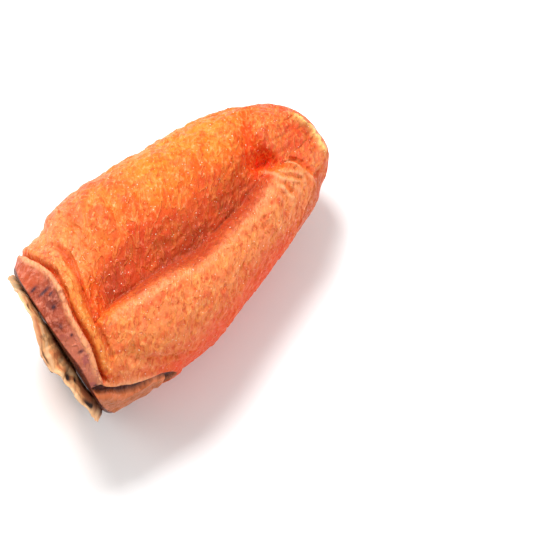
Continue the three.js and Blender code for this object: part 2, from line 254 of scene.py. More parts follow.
def twisted(section_angle, x):
    """Where a line along the fruit, named by its angle in the section, has wandered to at x."""
    wander = curve_through(FURROW_SHIFT, x) * bell(section_angle, FURROW_SPREAD)
    return wrap(section_angle + curve_through(TWIST, x) + wander)


def skin_edge(angle):
    """Where the collar's skin ends, as a distance from the calyx end."""
    return curve_through(SKIN_EDGE, wrap(angle), 360)


def lobe_points(lobe, count):
    """Evenly spaced points along a centripetal Catmull-Rom curve, the last one left out."""
    p = np.array(lobe, float)
    p = np.vstack([2 * p[0] - p[1], p, 2 * p[-1] - p[-2]])
    knots = np.concatenate([[0], np.cumsum(np.linalg.norm(np.diff(p, axis=0), axis=1) ** 0.5)])
    dense = []
    for k in range(len(lobe) - 1):
        t0, t1, t2, t3 = knots[k:k + 4]
        p0, p1, p2, p3 = p[k:k + 4]
        t = np.linspace(t1, t2, 60)[:, None]
        a1 = ((t1 - t) * p0 + (t - t0) * p1) / (t1 - t0)
        a2 = ((t2 - t) * p1 + (t - t1) * p2) / (t2 - t1)
        a3 = ((t3 - t) * p2 + (t - t2) * p3) / (t3 - t2)
        b1 = ((t2 - t) * a1 + (t - t0) * a2) / (t2 - t0)
        b2 = ((t3 - t) * a2 + (t - t1) * a3) / (t3 - t1)
        dense.append(((t2 - t) * b1 + (t - t1) * b2) / (t2 - t1))
    dense = np.vstack(dense)
    arc = np.concatenate([[0], np.cumsum(np.linalg.norm(np.diff(dense, axis=0), axis=1))])
    want = np.arange(count) / count * arc[-1]
    return np.stack([np.interp(want, arc, dense[:, 0]), np.interp(want, arc, dense[:, 1])], 1)


def section(columns):
    """The section's angles in degrees and radii in half-widths."""
    lengths = [np.linalg.norm(np.diff(np.array(lobe), axis=0), axis=1).sum() for lobe in LOBES]
    points = np.vstack([lobe_points(lobe, round(columns * length / sum(lengths)))
                        for lobe, length in zip(LOBES, lengths)])
    return np.degrees(np.arctan2(points[:, 0], points[:, 1])), np.hypot(points[:, 0], points[:, 1])


def place(x, angle, radius, depth_share=DEPTH_SHARE):
    """Points at x along the midline, at an angle round it, at a radius in millimetres."""
    turn = np.radians(angle)
    settle = ease(*SETTLE, x)
    side = curve_through(BOW, x) + radius * np.sin(turn)
    front = depth_share * radius * np.cos(turn) - SETTLE_DROP * settle
    points = side[..., None] * SIDE + front[..., None] * FRONT
    lean = (1 - np.clip(x / BODY_LENGTH, 0, 1)) ** LEAN_FADE * (points @ LEAN)
    points[..., 0] = x + SETTLE_FORWARD * settle + lean
    return points


def lattice_value(cell, seed):
    """A repeatable random value from -1 to 1 for each whole-numbered cell."""
    h = (cell[..., 0] * 374761393 + cell[..., 1] * 668265263 + cell[..., 2] * 2147483647
         + seed * 144269504) & 0xFFFFFFFF
    h = ((h ^ (h >> 13)) * 1274126177) & 0xFFFFFFFF
    h = ((h ^ (h >> 16)) * 2246822519) & 0xFFFFFFFF
    return (h ^ (h >> 15)) / 0xFFFFFFFF * 2 - 1


def noise(points, size, seed):
    """Smooth random bumps from about -1 to 1, with cells of a size in millimetres."""
    p = points / np.asarray(size, float)
    cell = np.floor(p).astype(np.int64)
    t = p - cell
    t = t * t * t * (t * (t * 6 - 15) + 10)
    total = 0
    for corner in np.ndindex(2, 2, 2):
        weight = np.prod([t[..., k] if corner[k] else 1 - t[..., k] for k in range(3)], axis=0)
        total = total + weight * lattice_value(cell + np.array(corner), seed)
    return total


def layered(points, size, seed, layers=3):
    """Noise in layers, each half as large and half as strong as the last."""
    return sum(noise(points, np.asarray(size, float) / 2 ** k, seed + k) / 2 ** k for k in range(layers))


def ridged(points, size, seed):
    """Narrow raised lines where smooth noise crosses zero, from 0 to 1."""
    return np.clip(1 - np.abs(noise(points, size, seed)) * 2.6, 0, 1) ** 1.5


def grid_normals(points):
    across = np.roll(points, -1, 1) - np.roll(points, 1, 1)
    along = np.gradient(points, axis=0)
    normals = np.cross(across, along)
    return normals / np.maximum(np.linalg.norm(normals, axis=2, keepdims=True), 1e-9)


def ring_mesh(name, start, rings, end, attributes):
    """A closed mesh from a start point, rings of points and an end point, all in millimetres."""
    count = rings.shape[1]
    points = np.vstack([start, rings.reshape(-1, 3), end])
    ring, column = np.meshgrid(np.arange(len(rings) - 1), np.arange(count), indexing="ij")
    a = 1 + ring * count + column
    b = 1 + ring * count + (column + 1) % count
    quads = np.stack([a, a + count, b + count, b], -1).reshape(-1, 4)
    columns = np.arange(count)
    first = np.stack([0 * columns, 1 + columns, 1 + (columns + 1) % count], -1)
    tail = 1 + (len(rings) - 1) * count
    last = np.stack([tail + columns, 0 * columns + len(points) - 1, tail + (columns + 1) % count], -1)
    mesh = bpy.data.meshes.new(name)
    mesh.from_pydata(((points - ORIGIN) * MM).tolist(), [], quads.tolist() + first.tolist() + last.tolist())
    for key, values in attributes.items():
        flat = np.concatenate([[values[0].mean()], values.ravel(), [values[-1].mean()]])
        mesh.attributes.new(key, "FLOAT", "POINT").data.foreach_set("value", flat.astype(np.float32))
    mesh.shade_smooth()
    mesh.validate()
    piece = bpy.data.objects.new(name, mesh)
    bpy.context.scene.collection.objects.link(piece)
    return piece


def width_at(x, angle):
    """The half-width in millimetres, with the collar's flare at the top."""
    flare = bell(wrap(angle - FLARE_ANGLE), FLARE_SPREAD) * (1 - ease(3, FLARE_TO, x))
    return half_width(x) * (1 + FLARE * flare)


def fruit_rows(edges, rims):
    """The rows of distances from the calyx end, past the end face and the rim."""
    reach = np.maximum(0.3, edges - EDGE_ROWS_BEFORE - rims)
    rows = [rims + reach * share for share in np.linspace(0, 1, COLLAR_ROWS, endpoint=False)]
    room = np.minimum(1, (edges - rims - 0.4) / EDGE_ROWS_BEFORE)
    for past in np.arange(-EDGE_ROWS_BEFORE, EDGE_ROWS_AFTER, EDGE_ROW_STEP):
        rows.append(edges + (past * room if past < 0 else past))
    start = edges + EDGE_ROWS_AFTER
    for share in np.linspace(0, 1, BODY_ROWS + 1)[:-1]:
        crowded = share - ROWS_CROWD * math.cos(math.tau * share) / math.tau + ROWS_CROWD / math.tau
        rows.append(start + (BODY_LENGTH - LAST_ROW_SHORT - start) * crowded)
    return np.array(rows)


def fold_line(away, line):
    """The height of a fold that follows the skin's edge."""
    at, width, rise = line
    return rise * bell(away - at, width)


def edge_folds(x, past, angle):
    """The folds beside the skin's edge: height and push along the fruit in millimetres, and marks."""
    step = 1.0
    arc = np.radians(2 * step) * half_width(x)
    slope = (skin_edge(angle + step) - skin_edge(angle - step)) / arc
    away = past / np.hypot(1, slope)
    cells = np.stack([x, angle / 4, 0 * x], -1)

    # Along the upper edge there are a raised lip, a deep fold, a swell and a second groove.
    strength = np.where(angle < -100, 0.4, 1 - 0.75 * ease(60, 95, angle))
    front = (ease(-41, -36, angle) + 1 - ease(-150, -122, angle)) * strength
    height = front * sum(fold_line(away, line) for line in (LIP, FOLD, SWELL))
    second = ease(-34, -27, angle) * (1 - ease(44, 66, angle))
    groove = second * bell(past - curve_through(SECOND_GROOVE, angle), SECOND_GROOVE_WIDTH)
    height -= SECOND_GROOVE_DEPTH * (1 + 0.5 * ease(0, 20, angle)) * groove

    # Along the lower edge there are an overhang, the slit and the flap, which is crumpled.
    lower = ease(-126, -100, angle) * (1 - ease(-42, -37.5, angle))
    under = 1 - ease(-0.45, -0.1, away)
    widening = SLIT_WIDER * bell(angle - SLIT_WIDEST_ANGLE, SLIT_SPREAD)
    narrowing = SLIT_NARROWER * (1 - ease(-114, -98, angle))
    inner = away + widening - narrowing - 0.3 * noise(cells, 2.2, 95)
    slit = ease(*SLIT_EDGE, inner) * under
    overhang = 0.6 * bell(away - 0.6, 0.9) * (1 - under)
    height += lower * (overhang + 0.5 * bell(inner + 3.5, 0.9) - SLIT_DEPTH * slit)
    height += 0.3 * lower * (1 - ease(-3.4, -2.6, inner)) * noise(cells, (3.5, 1.3, 1), 96)
    height -= bell(past - 8, 1.7) * ease(-64, -54, angle) * (1 - ease(-36, -28, angle))

    # Pleats cross the broad lobe beside the collar.
    drift = past - 1.1 * noise(cells, 5, 94)
    pleats = sum(strength * bell(drift - at, 0.5) for at, strength in PLEATS)
    pleats *= ease(20, 34, angle) * (1 - ease(58, 80, angle))
    height += 0.15 * bell(drift - 12, 3) - PLEAT_DEPTH * pleats

    push = 0.5 * front * bell(away, 0.35) - 0.5 * lower * bell(away - 0.3, 0.5)
    lip = bell(away + 0.3, 0.45) * front + bell(away - 0.45, 0.6) * lower * (1 - ease(12, 16, x))
    return height, push, {
        "lip": np.clip(lip, 0, 1),
        "flap": lower * bell(inner + 2.8, 0.45),
        "slit": slit * lower,
        "under": lower * (1 - ease(-0.1, 0.5, past)),
        "groove": front * bell(away - FOLD[0], FOLD[1]) + groove + 0.4 * pleats}


def tip_forms(x, past_cap, angle):
    """The forms near the tip: height in millimetres, and marks."""
    past_groove = x - curve_through(GROOVE_LINE, angle)
    banks = ease(-6, 3, angle) * (1 - ease(40, 58, angle))
    bottom = banks * bell(past_groove, GROOVE_WIDTH)
    height = 0.4 * banks * bell(past_groove - 3.6, GROOVE_WIDTH) - GROOVE_DEPTH * bottom
    height -= 0.9 * bell(past_cap - 0.7, 0.6) * ease(-50, -40, angle) * (1 - ease(-16, -10, angle))

    tip = ease(-60, -35, angle) * (1 - ease(20, 42, angle))
    waver = noise(np.stack([angle / 4, 0 * x, 0 * x], -1), 1.6, 93)
    past_rim = x - curve_through(TIP_RIM, angle) - 0.6 * waver
    height += tip * (bell(past_rim, 0.8) - 0.7 * bell(past_rim + 2.2, 1.3))

    across = np.radians(angle - curve_through(SIDE_GROOVE, x)) * half_width(x)
    beside = ease(56, 59, x) * (1 - ease(68, 71, x))
    height += beside * (0.25 * bell(across - 0.9, 0.6) - SIDE_GROOVE_DEPTH * bell(across, 0.4))

    raised, grooved = nose_wrinkles(x, angle)
    height += WRINKLE_RISE * raised - WRINKLE_DEPTH * grooved
    # Painted shade in the dimple and along the groove's bottom.
    painted_dimple_shade = bell(x - DIMPLE_AT, 3) * bell(angle - DIMPLE_ANGLE, 12)
    return height, {
        # A painted highlight along the tip's rim, as if lit from behind.
        "rim": tip * bell(past_rim, 0.95),
        "painted_dimple_shade": np.maximum(painted_dimple_shade, 0.6 * bottom),
        "raised": np.clip(raised, 0, 1),
        "grooved": np.clip(grooved, 0, 1),
        # Painted shade on the strip beyond the side groove, which turns away.
        "side": beside * ease(0.1, 0.9, -across)}


def lumps_and_dents(x, angle):
    """Their height in millimetres."""
    return sum(rise * bell(x - at, length) * bell(angle - lump_angle, spread)
               for rise, at, length, lump_angle, spread in LUMPS)


def nose_wrinkles(x, angle):
    """Arched wrinkles across the ridge's end: how far a point is on a raised side and in a groove."""
    raised = grooved = 0
    for strength, line in NOSE_WRINKLES:
        start, end = line[0][0], line[-1][0]
        within = strength * ease(start - 3, start + 4, angle) * (1 - ease(end - 4, end + 3, angle))
        past_line = x - curve_through(line, angle)
        raised = raised + within * bell(past_line + 0.95, 0.5)
        grooved = grooved + within * bell(past_line, 0.42)
    return raised, grooved


def stains(x, angle):
    """Dark streaks and spots on the collar's skin."""
    along = MEAN_RADIUS * np.radians(1)
    total = 0
    for stain_angle, stain_x, length, width in STAINS:
        du, dv = x - stain_x, wrap(angle - stain_angle) * along
        total = total + bell(du / length, 1) * bell((dv + STAIN_LEAN * du) / width, 1)
    return np.clip(total * 1.2, 0, 1)


def salmon_and_painted_light(x, angle):
    """Where the flesh is paler and pinker: along the ridge's crest and near the collar. On the crest's
    outer side, which turns from the light, the paleness is partly painted light.
    """
    crest = ease(-72, -48, angle) * (1 - ease(-14, -8, angle)) * ease(5, 9, x)
    crest = crest * (0.7 + 0.3 * ease(38, 56, x))
    shoulder = bell(x - 13, 8) * ease(12, 30, angle)
    return np.maximum(crest, 0.8 * shoulder)


def colour_marks(x, angle, section_angle, past, past_cap, plain):
    """Where the flesh and the skin change their colour or their wrinkles, from 0 to 1."""
    flesh = ease(-0.1, 0.5, past)
    return {
        "flesh": flesh,
        # The furrows with painted shade, deeper in the main one, the ridge beside it, a painted highlight
        # on the ridge's crest and painted shade on its bank.
        "hollow": np.clip((0.97 - plain) * 3, 0, 1) * flesh,
        "painted_furrow_shade": ease(0.86, 0.56, plain) * flesh * (1 - ease(50, 60, x)),
        "ridge": ease(-7, -12, angle) * ease(-150, -120, angle) * ease(2, 8, past),
        "painted_crest_highlight": bell(section_angle + 15.5, 2.8) * ease(8, 16, x) * (1 - ease(54, 60, x)),
        "painted_bank_shade": bell(section_angle + 10.6, 3) * ease(12, 20, x) * (1 - ease(56, 61, x)),
        # The paler crest, partly painted light, painted shade on the underside, the broad lobe, its golden
        # part, a pale band and the cap, whose darker red is partly painted shade.
        "salmon_and_painted_light": salmon_and_painted_light(x, angle) * (1 - bell(past_cap, 1.5)),
        "low": (1 - ease(-76, -42, angle)) * (1 - ease(50, 62, x)) * flesh,
        "panel": ease(15, 40, angle) * (1 - ease(52, 60, x)) * ease(5, 10, x),
        "amber": ease(28, 40, x) * (1 - ease(56, 64, x)) * ease(28, 50, angle),
        "band": bell(past - 2.5, 1.1) * ease(-36, -24, angle) * (1 - ease(14, 34, angle)),
        "cap": ease(-0.5, 2.5, past_cap),
        # The skin's upper and lower parts, the slit's far end and the stains.
        "upper": ease(25, 60, angle),
        "foot": ease(10, -10, angle) * (1 - ease(-52, -66, angle)),
        "tail": ease(8, 12, x),
        "stains": stains(x, angle)}


def fruit_surface():
    """Rows of points from the end face to the tip, with marks for the materials."""
    angles, radii = section(FRUIT_COLUMNS)
    end_angles = twisted(angles, 0 * angles)
    edges = skin_edge(end_angles)
    face_radius = curve_through(FACE_EDGE, end_angles, 360)
    rims = curve_through(RIM_AT, end_angles, 360)
    rings = []
    for share in np.linspace(0, 1, FACE_RINGS, endpoint=False)[1:]:
        x = np.full_like(angles, FACE_AT + FACE_DISH * (1 - share ** 2))
        rings.append(place(x, end_angles, share * face_radius * width_at(x, end_angles)))
    for turn in np.linspace(0, math.pi / 2, RIM_RINGS, endpoint=False):
        x = FACE_AT + (rims - FACE_AT) * (1 - math.cos(turn))
        radius = face_radius + (RIM_RADIUS - face_radius) * math.sin(turn)
        rings.append(place(x, end_angles, radius * width_at(x, end_angles)))

    x = fruit_rows(edges, rims)
    angle = twisted(angles, x)
    past = x - edges
    past_cap = x - curve_through(CAP_EDGE, angles, 360)
    edge_height, push, edge_marks = edge_folds(x, past, angle)
    tip_height, tip_marks = tip_forms(x, past_cap, angle)
    height = edge_height + tip_height + lumps_and_dents(x, angle)
    collar = RIM_RADIUS + (EDGE_RADIUS - RIM_RADIUS) * np.clip((x - rims) / (edges - rims), 0, 1)
    cap = 1 - CAP_SINK * bell(wrap(angle - CAP_ANGLE), CAP_SPREAD)
    nose = ease(-62, -45, angles) * (1 - ease(-15, -10, angles))
    full = radii + (cap - radii) * ease(-0.8 + 0.4 * nose, 2.2 - 1.5 * nose, past_cap)
    lobed = EDGE_RADIUS + (full - EDGE_RADIUS) * ease(LOBES_FROM, LOBES_FULL, past)
    plain = np.where(past < 0, collar, lobed)
    width = width_at(x, angle)
    body = place(x, angle, width * plain + height * np.minimum(1, width / 8))
    body[..., 0] += push

    # The end face and the rim come before the body's rows. Their marks are 0, but for the face itself and
    # the painted shade in the gap behind the calyx.
    ahead = np.zeros((len(rings), len(angles)))
    body_marks = colour_marks(x, angle, angles, past, past_cap, plain) | edge_marks | tip_marks
    marks = {name: np.concatenate([ahead, values]) for name, values in body_marks.items()}
    turned = np.linspace(0, 1, RIM_RINGS, endpoint=False)[:, None] + 0 * angles
    marks["painted_gap_shade"] = np.concatenate([ahead[:FACE_RINGS - 1] + 1, 1 - ease(0.7, 1, turned), 0 * past])
    marks["face"] = np.concatenate([ahead + 1, 0 * past])
    points = np.concatenate([np.array(rings), body])
    x, angle, past = (np.concatenate([ahead + fill, values])
                      for fill, values in ((0, x), (0, angle), (-9, past)))
    return points, marks, x, angle, past


def roughen(points, marks, x, angle, past):
    """Wrinkles and grain on the fruit's surface, in millimetres along the normal. Marks the pale crests,
    whose paleness is partly painted highlight.
    """
    flesh, ridge = marks["flesh"], marks["ridge"]
    turn = np.radians(angle)
    space = np.stack([x - WRINKLE_LEAN * MEAN_RADIUS * np.sin(turn), MEAN_RADIUS * np.sin(turn),
                      MEAN_RADIUS * np.cos(turn)], -1)
    bent = space + 0.9 * np.stack([noise(space, 2.6, seed) for seed in (11, 12, 13)], -1)
    long = ridged(bent, (2, 6, 6), 21)
    short = ridged(bent, (1.1, 2.4, 2.4), 22)
    broad = ridged(space + 1.5 * noise(space, 5, 14)[..., None], (3.4, 10, 10), 25) * marks["panel"]
    pebbles = ridged(bent, 1.4, 23)
    patches = ease(-0.3, 0.5, noise(space, 8, 24))
    worms = (0.6 * long + 0.5 * short) * (0.45 + 0.55 * patches)
    crests = worms + (pebbles - worms) * 0.6 * ridge
    grain = layered(space, 1.1, 31, 2)
    lumps = layered(points, 9, 41, 2)
    wrinkles = (WRINKLE_HEIGHT - 0.04 * ridge) * crests * ease(2, 7, past)
    height = flesh * (wrinkles + BROAD_HEIGHT * broad + GRAIN_HEIGHT * grain)
    height += LUMP_HEIGHT * lumps * ease(0, 6, past)
    height += (1 - flesh) * (0.09 * layered(space, (3.0, 1.2, 1.2), 51, 2) + 0.03 * grain)
    height *= (1 - 0.6 * marks["face"]) * ease(0, 3, BODY_LENGTH - x)
    marks["crest"] = np.clip(crests + 0.5 * broad, 0, 1) * flesh
    moved = points + grid_normals(points) * height[..., None]
    moved[..., 2] = np.maximum(moved[..., 2], ORIGIN[2])
    return moved


def make_fruit():
    points, marks, x, angle, past = fruit_surface()
    points = roughen(points, marks, x, angle, past)
    start = place(np.array([FACE_AT + FACE_DISH]), np.zeros(1), np.zeros(1))
    end = place(np.array([BODY_LENGTH]), np.zeros(1), np.zeros(1))
    return ring_mesh("fruit_skin", start, points, end, marks)


def calyx_streaks(radius, share, round_at):
    """Streaks that run out from the middle, and along the rim near the edge, from 0 to 1."""
    spin = (round_at + 0 * share[..., None])[..., :2]
    along_rim = layered(np.concatenate([radius[..., None], 3.6 * spin], -1), 1.0, 75, 3)
    from_middle = layered(np.concatenate([radius[..., None] / 5, 10 * spin], -1), 1.0, 76, 3)
    return 0.5 + 0.5 * (from_middle + (along_rim - from_middle) * ease(0.7, 0.85, share))


def make_calyx():
    """The dried calyx: four shallow lobes, a boss inside, and a rim that curls away and is ragged."""
    angle = np.arange(CALYX_COLUMNS) * 360 / CALYX_COLUMNS
    shares = np.concatenate([np.linspace(*span) for span in CALYX_SHARES])
    share = shares[:, None] + 0 * angle
    round_at = np.stack([np.cos(np.radians(angle)), np.sin(np.radians(angle)), 0 * angle], -1)
    lobe = np.abs(np.cos(np.radians(2 * (angle - CALYX_TURN)))) ** 0.35
    ragged = 1 + 0.024 * layered(round_at * CALYX_NOISE_RADIUS, 2, 61, 3)
    skew = 1 + CALYX_SKEW * np.sin(np.radians(angle))
    radius = share * CALYX_RADIUS * (1 - CALYX_NOTCH * (1 - lobe)) * ragged * skew

    # The leaf's middle surface lies along one line and curls to another at its rim.
    leaf = curve_through(CALYX_LEAF, wrap(angle), 360)
    rim = curve_through(CALYX_RIM, wrap(angle), 360)
    rim = rim + 0.22 * layered(round_at * CALYX_NOISE_RADIUS, 2.6, 62, 2)
    spot = radius[..., None] * round_at
    waves = (0.3 * noise(spot, 5, 71) + 0.12 * noise(spot, 1.6, 72)) * ease(0.3, 0.8, share)
    curl = ease(curve_through(CALYX_CURL_FROM, wrap(angle), 360), 1.02, share)
    middle = leaf * ease(0, 0.4, share) + (rim - leaf) * curl + waves
    edge = ease(0.95, 1.0, share)
    thickness = CALYX_HALF_THICKNESS * (1 - 0.35 * share ** 2) * np.sqrt(1 - 0.92 * edge ** 2)
    veins = VEIN_HEIGHT * bell(np.sin(np.radians(VEIN_COUNT / 2 * (angle - CALYX_TURN))) * share * 4, 0.9)

    # The inner side rises to the boss, keeps clear of the fruit and has holes near its rim.
    boss = 1 - ease(BOSS_RADIUS, BOSS_FOOT, radius)
    inside = middle + thickness
    inside = inside + (BOSS_AT - inside) * boss
    clear = np.where(radius > FACE_FLAT_FROM, FACE_AT - 0.15, FACE_AT + FACE_DISH)
    clear = clear + 0.8 * ease(0.92, 1, share)
    filled = bell(wrap(angle - FILL_ANGLE), FILL_SPREAD) * ease(0.75, 0.9, share) * (1 - edge)
    holes = sum(bell(wrap(angle - at) / length, 1) * bell((share - at_share) / width, 1)
                for at, at_share, length, width in CALYX_HOLES)
    inside = inside + FILL_HEIGHT * filled - HOLE_DEPTH * holes * (1 - edge)
    clear = clear + FILL_HEIGHT * filled
    outer = place(middle - thickness - veins, angle + 0 * share, radius)
    inner = place(np.minimum(inside, clear), angle + 0 * share, radius)

    def both(values):
        return np.concatenate([values, values[::-1]])

    def inner_only(values):
        return np.concatenate([0 * share, values[::-1]])

    marks = {
        # Partly a painted highlight on the curled rim.
        "edge": both(ease(0.9, 1, share)),
        # Painted shade: the holes and the filled gap are dark.
        "holes": inner_only(np.clip(1.3 * holes + 0.8 * filled, 0, 1)),
        "streaks": both(calyx_streaks(radius, share, round_at)),
        "green": inner_only(ease(45, 62, angle) * (1 - ease(95, 120, angle)) + 0 * share)}
    start = place(np.array([-CALYX_HALF_THICKNESS]), np.zeros(1), np.zeros(1))
    end = place(np.array([BOSS_AT]), np.zeros(1), np.zeros(1))
    return ring_mesh("calyx_leaf", start, np.concatenate([outer, inner[::-1]]), end, marks)


def make_stem():
    """The cut stub: woody, fluted and a little hollowed at its cut end."""
    angle = -np.arange(STEM_COLUMNS) * 360 / STEM_COLUMNS
    share = np.linspace(0, 1, 26)[:, None] + 0 * angle
    turn = np.radians(angle) + 0 * share
    spot = np.stack([2 * np.cos(turn), 2 * np.sin(turn), share * 2.4], -1)
    flutes = 1 + 0.06 * np.sin(3 * turn) + 0.05 * layered(spot, (0.5, 0.5, 2), 81, 2)
    radius = STEM_RADIUS * curve_through(STEM_PROFILE, share) * flutes
    shift = STEM_OFFSET * SIDE
    rings = place(STEM_FROM + (STEM_TO - STEM_FROM) * share, np.degrees(turn), radius) + shift
    inward = np.array([0.8, 0.55, 0.3])[:, None]
    hollowed = STEM_TO + STEM_HOLLOW * (1 - inward) + 0 * angle
    cut = place(hollowed, np.degrees(turn[:3]), radius[-1] * inward) + shift
    marks = {"cut": np.concatenate([ease(0.9, 1.0, share), np.ones((3, STEM_COLUMNS))])}
    start = place(np.array([STEM_FROM]), np.zeros(1), np.zeros(1)) + shift
    end = place(np.array([STEM_TO + STEM_HOLLOW]), np.zeros(1), np.zeros(1)) + shift
    return ring_mesh("stem_wood", start, np.concatenate([rings, cut]), end, marks)


def linear(red, green, blue):
    """A colour given in 0 to 255 display values, for a shader."""
    def channel(value):
        value /= 255
        return value / 12.92 if value <= 0.04045 else ((value + 0.055) / 1.055) ** 2.4
    return (channel(red), channel(green), channel(blue), 1.0)


class Nodes:
    """A material's nodes, added by short calls. Distances are in millimetres."""

    def __init__(self, name):
        self.material = bpy.data.materials.new(name)
        self.material.use_nodes = True
        self.tree = self.material.node_tree
        self.shader = self.tree.nodes["Principled BSDF"]
        # Measured across the wrinkles, along them and off the surface, as they lie on the main lobe.
        spot = self.add("ShaderNodeTexCoord").outputs["Object"]
        joined = self.add("ShaderNodeCombineXYZ")
        for axis, socket in zip(view_axes(), joined.inputs):
            along = self.add("ShaderNodeVectorMath", operation="DOT_PRODUCT")
            self.put(spot, along.inputs[0])
            along.inputs[1].default_value = axis
            self.put(along.outputs["Value"], socket)
        self.place = joined.outputs[0]

    def add(self, kind, **settings):
        node = self.tree.nodes.new(kind)
        for key, value in settings.items():
            setattr(node, key, value)
        return node

    def put(self, value, socket):
        if isinstance(value, bpy.types.NodeSocket):
            self.tree.links.new(value, socket)
        else:
            socket.default_value = value

    def mark(self, name):
        return self.add("ShaderNodeAttribute", attribute_name=name).outputs["Fac"]

    def math(self, operation, a, b=0.0):
        node = self.add("ShaderNodeMath", operation=operation)
        self.put(a, node.inputs[0])
        self.put(b, node.inputs[1])
        return node.outputs[0]

    def times(self, a, b):
        return self.math("MULTIPLY", a, b)

    def band(self, value, low, high, out_low=0.0, out_high=1.0):
        """The value's share of the way from low to high, eased and mapped onto another range."""
        node = self.add("ShaderNodeMapRange", interpolation_type="SMOOTHSTEP")
        for socket, item in zip(("Value", "From Min", "From Max", "To Min", "To Max"),
                                (value, low, high, out_low, out_high)):
            self.put(item, node.inputs[socket])
        return node.outputs[0]

    def noise(self, per_mm, detail=3.0, stretch=(1, 1, 1), rough=0.5, distort=0.0):
        """Noise with a number of cells to the millimetre, stretched across, along and off the wrinkles."""
        spread = self.add("ShaderNodeMapping")
        spread.inputs["Scale"].default_value = stretch
        self.put(self.place, spread.inputs["Vector"])
        node = self.add("ShaderNodeTexNoise")
        self.put(spread.outputs[0], node.inputs["Vector"])
        for socket, item in zip(("Scale", "Detail", "Roughness", "Distortion"),
                                (per_mm / MM, detail, rough, distort)):
            node.inputs[socket].default_value = item
        return node.outputs["Fac"]

    def worms(self, per_mm, width, stretch=(1, 0.35, 0.6), distort=0.4):
        """Short winding lines where noise crosses its middle value."""
        level = self.noise(per_mm, 1.5, stretch, 0.5, distort)
        return self.band(self.math("ABSOLUTE", self.math("SUBTRACT", level, 0.5)), width, 0.0)

    def mix(self, share, a, b):
        """A share of colour b over colour a."""
        node = self.add("ShaderNodeMix", data_type="RGBA")
        first, second = [socket for socket in node.inputs if socket.type == "RGBA"]
        self.put(share, node.inputs["Factor"])
        self.put(a, first)
        self.put(b, second)
        return next(socket for socket in node.outputs if socket.type == "RGBA")

    def tint(self, colour, mark, share, display):
        """A share of a display colour over a colour, where a mark is."""
        return self.mix(self.times(self.mark(mark), share), colour, linear(*display))

    def bump(self, height, strength, distance_mm, normal=None):
        node = self.add("ShaderNodeBump")
        node.inputs["Strength"].default_value = strength
        node.inputs["Distance"].default_value = distance_mm * MM
        self.put(height, node.inputs["Height"])
        if normal is not None:
            self.put(normal, node.inputs["Normal"])
        return node.outputs[0]

    def set(self, **inputs):
        for key, value in inputs.items():
            self.put(value, self.shader.inputs[key.replace("_", " ").title()])


